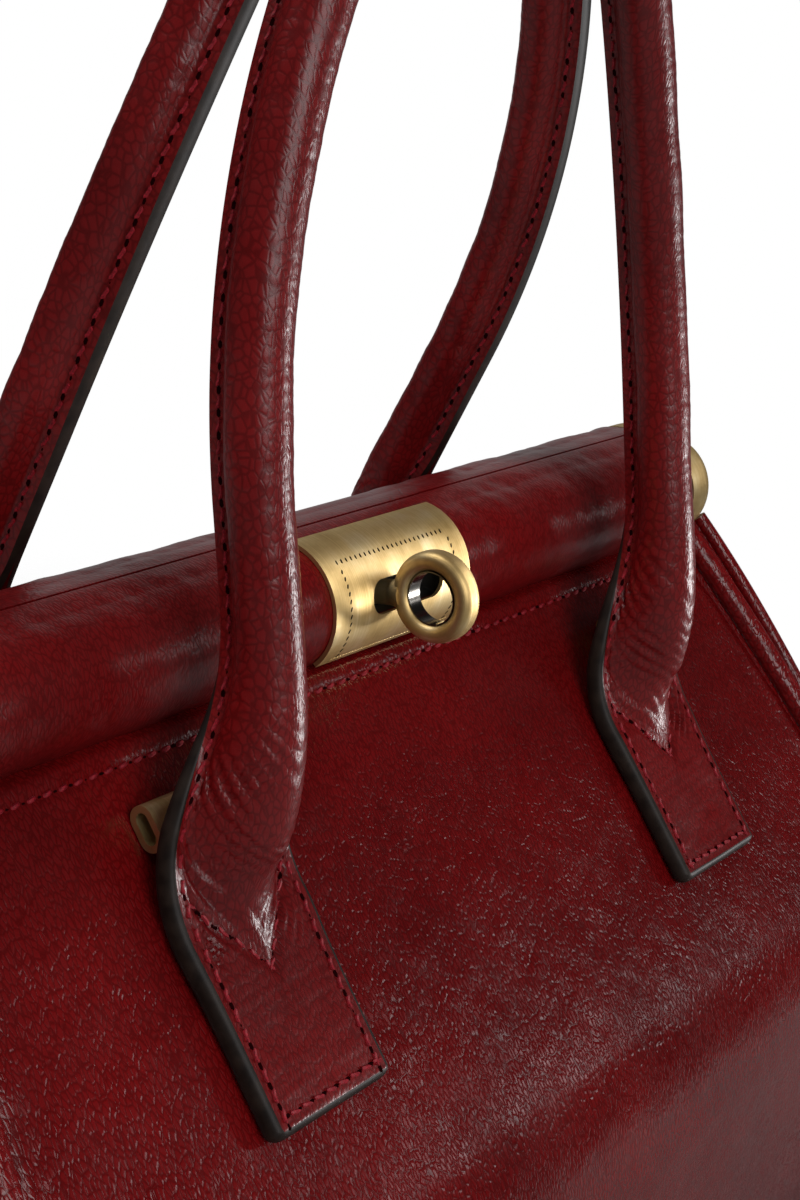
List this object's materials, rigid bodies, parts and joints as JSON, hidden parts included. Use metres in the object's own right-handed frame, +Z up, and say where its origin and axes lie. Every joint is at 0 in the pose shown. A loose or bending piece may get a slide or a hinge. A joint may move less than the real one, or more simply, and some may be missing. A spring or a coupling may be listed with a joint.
{
  "type": "top handle bag",
  "caption": "Structured leather bag with a hinged frame mouth, sliding ring lock and two rolled top handles.",
  "frame": {"origin": "on the floor under the middle of the base", "axes": "+Z up, X along the bag, front with the lock towards -Y"},
  "size_m": [0.2704, 0.168, 0.3488],
  "materials": {
    "burgundy_leather": "milled grain, semi-gloss",
    "base_leather": "milled grain, semi-gloss",
    "lining_cloth": "woven twill",
    "board": "pressed fibre board",
    "antique_brass": "brushed, antique",
    "frame_alloy": "plain",
    "steel": "plain",
    "rope": "twisted cotton"
  },
  "bodies": {
    "bag_body": {"base_panel": "base_leather", "base_board": "board", "base_feet": "antique_brass", "front_panel": "burgundy_leather", "back_panel": "burgundy_leather", "left_gusset": "burgundy_leather", "right_gusset": "burgundy_leather", "front_piping": "burgundy_leather", "back_piping": "burgundy_leather", "front_lining": "lining_cloth", "back_lining": "lining_cloth", "left_hinge_plate": "steel", "right_hinge_plate": "steel", "hinge_pins": "steel"},
    "front_jaw": {"front_frame": "frame_alloy", "front_roll_cover": "burgundy_leather", "front_left_end_cap": "antique_brass", "front_right_end_cap": "antique_brass", "lock_plate": "antique_brass", "front_left_handle_tab": "burgundy_leather", "front_right_handle_tab": "burgundy_leather", "left_strap_keeper": "antique_brass", "right_strap_keeper": "antique_brass"},
    "back_jaw": {"back_frame": "frame_alloy", "back_roll_cover": "burgundy_leather", "back_left_end_cap": "antique_brass", "back_right_end_cap": "antique_brass", "lock_catch": "steel", "back_left_handle_tab": "burgundy_leather", "back_right_handle_tab": "burgundy_leather"},
    "lock_slider": {"lock_ring": "antique_brass", "lock_bolt": "steel"},
    "front_handle": {"front_handle_cover": "burgundy_leather", "front_handle_core": "rope"},
    "back_handle": {"back_handle_cover": "burgundy_leather", "back_handle_core": "rope"}
  },
  "joints": [
    {"name": "front_jaw_open", "type": "hinge", "parent": "bag_body", "child": "front_jaw", "pos_m": [0, 0, 0.075], "axis": [1, 0, 0], "range_deg": [0, 22], "deforming": ["front_panel", "front_piping", "front_lining", "left_gusset", "right_gusset"]},
    {"name": "back_jaw_open", "type": "hinge", "parent": "bag_body", "child": "back_jaw", "pos_m": [0, 0, 0.075], "axis": [-1, 0, 0], "range_deg": [0, 22], "deforming": ["back_panel", "back_piping", "back_lining", "left_gusset", "right_gusset"]},
    {"name": "lock_slide", "type": "slide", "parent": "front_jaw", "child": "lock_slider", "axis": [1, 0, 0], "range_m": [-0.004, 0.0105]},
    {"name": "front_handle_swing", "type": "hinge", "parent": "front_jaw", "child": "front_handle", "pos_m": [0, -0.03569, 0.17094], "axis": [1, 0, 0], "range_deg": [0, 45], "deforming": ["front_left_handle_tab", "front_right_handle_tab"]},
    {"name": "back_handle_swing", "type": "hinge", "parent": "back_jaw", "child": "back_handle", "pos_m": [0, 0.03569, 0.17094], "axis": [-1, 0, 0], "range_deg": [0, 45], "deforming": ["back_left_handle_tab", "back_right_handle_tab"]}
  ]
}
